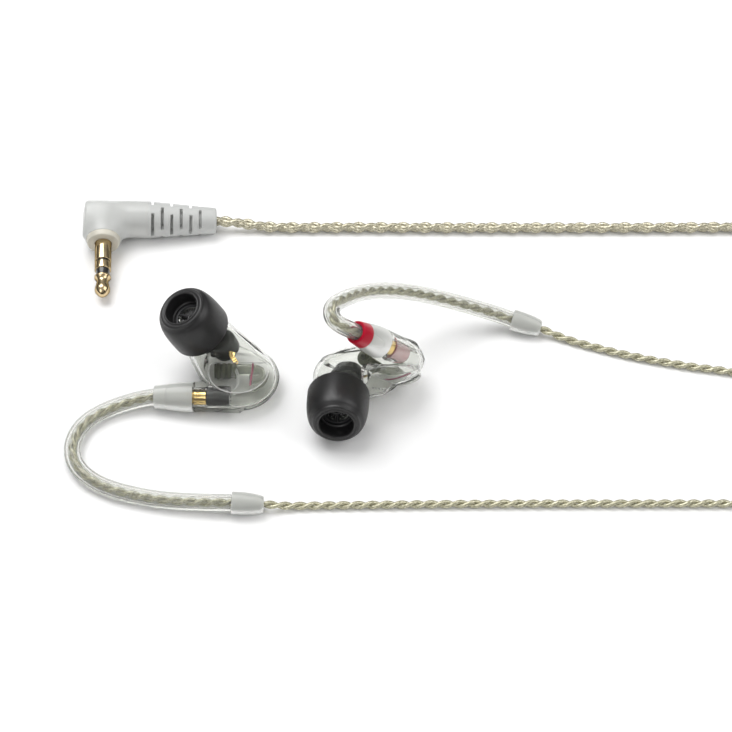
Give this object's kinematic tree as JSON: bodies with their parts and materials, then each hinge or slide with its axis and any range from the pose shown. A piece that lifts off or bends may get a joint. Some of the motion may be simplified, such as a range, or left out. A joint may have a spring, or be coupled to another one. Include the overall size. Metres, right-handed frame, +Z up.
{
  "type": "in ear monitors",
  "caption": "Pair of clear in ear monitors with swivelling over-ear hooks, removable silicone tips and a twisted cable with chin slider, splitter and angled jack plug.",
  "frame": {"origin": "on the surface the set lies on, under the middle of the two earpieces and their hooks", "axes": "+X from the left earpiece to the right one, +Y from the earpieces to the plug's side of the layout, +Z up"},
  "size_m": [0.1903, 0.0821, 0.0285],
  "materials": {
    "clear_shell": "clear faintly grey polycarbonate",
    "smoke_plastic": "milky translucent grey plastic",
    "red_plastic": "deep red side marker",
    "clear_sleeve": "clear soft sleeve",
    "silicone": "satin black silicone",
    "gold_plate": "gold plated, polished",
    "black_plastic": "matte black",
    "pink_plastic": "translucent pink",
    "steel_part": "fine steel",
    "film": "copper coloured film",
    "cord_pair": "silver strands under a clear skin, twisted",
    "ivory_core": "ivory"
  },
  "bodies": {
    "cable_set": {"left_connector_shell": "smoke_plastic", "left_side_ring": "smoke_plastic", "left_hook_sleeve": "clear_sleeve", "left_hook_cable": "cord_pair", "left_hook_ferrule": "smoke_plastic", "left_lead": "cord_pair", "right_connector_shell": "smoke_plastic", "right_side_ring": "red_plastic", "right_hook_sleeve": "clear_sleeve", "right_hook_cable": "cord_pair", "right_hook_ferrule": "smoke_plastic", "right_lead": "cord_pair", "leads_coil": "cord_pair", "leads_tie": "black_plastic", "y_splitter": "smoke_plastic", "main_coil": "cord_pair", "main_tie": "black_plastic", "main_lead": "cord_pair", "plug_body": "smoke_plastic", "plug_boot": "smoke_plastic", "plug_collar": "ivory_core", "plug_core": "ivory_core", "jack_sleeve": "gold_plate", "jack_ring": "gold_plate", "jack_tip": "gold_plate", "jack_insulators": "black_plastic"},
    "left_contact": {"left_contact_barrel": "gold_plate", "left_contact_pin": "gold_plate"},
    "left_earphone": {"left_outer_shell": "clear_shell", "left_inner_shell": "clear_shell", "left_nozzle_mesh": "steel_part", "left_driver_frame": "black_plastic", "left_driver_magnet": "steel_part", "left_diaphragm": "film", "left_flex_strip": "gold_plate", "left_damper": "smoke_plastic", "left_inner_wires": "film", "left_socket_body": "black_plastic", "left_socket_contact": "gold_plate"},
    "left_tip": {"left_ear_tip": "silicone", "left_wax_guard": "silicone"},
    "right_contact": {"right_contact_barrel": "gold_plate", "right_contact_pin": "gold_plate"},
    "right_earphone": {"right_outer_shell": "clear_shell", "right_inner_shell": "clear_shell", "right_nozzle_mesh": "steel_part", "right_driver_frame": "black_plastic", "right_driver_magnet": "steel_part", "right_diaphragm": "film", "right_flex_strip": "gold_plate", "right_damper": "smoke_plastic", "right_inner_wires": "film", "right_socket_body": "pink_plastic", "right_socket_contact": "gold_plate"},
    "right_tip": {"right_ear_tip": "silicone", "right_wax_guard": "silicone"},
    "chin_slider": {"chin_slider": "smoke_plastic"}
  },
  "joints": [
    {"name": "left_swivel", "type": "hinge", "parent": "cable_set", "child": "left_contact", "pos_m": [-0.0228, 0.0019, 0.0031], "axis": [0.9988, -0.0349, 0.0349], "range_deg": [0, 100]},
    {"name": "left_unplug", "type": "slide", "parent": "left_contact", "child": "left_earphone", "axis": [0.9988, -0.0349, 0.0349], "range_m": [0, 0.003]},
    {"name": "left_tip_off", "type": "slide", "parent": "left_earphone", "child": "left_tip", "axis": [-0.3906, -0.1601, 0.9065], "range_m": [0, 0.0055]},
    {"name": "right_swivel", "type": "hinge", "parent": "cable_set", "child": "right_contact", "pos_m": [0.0142, 0.0039, 0.0168], "axis": [0.5909, 0.3195, -0.7408], "range_deg": [-180, 28]},
    {"name": "right_unplug", "type": "slide", "parent": "right_contact", "child": "right_earphone", "axis": [0.5909, 0.3195, -0.7408], "range_m": [0, 0.003]},
    {"name": "right_tip_off", "type": "slide", "parent": "right_earphone", "child": "right_tip", "axis": [-0.041, -0.9991, 0.0128], "range_m": [0, 0.0055]},
    {"name": "chin_slide", "type": "slide", "parent": "cable_set", "child": "chin_slider", "axis": [0, 1, 0], "range_m": [0, 0.02]}
  ]
}
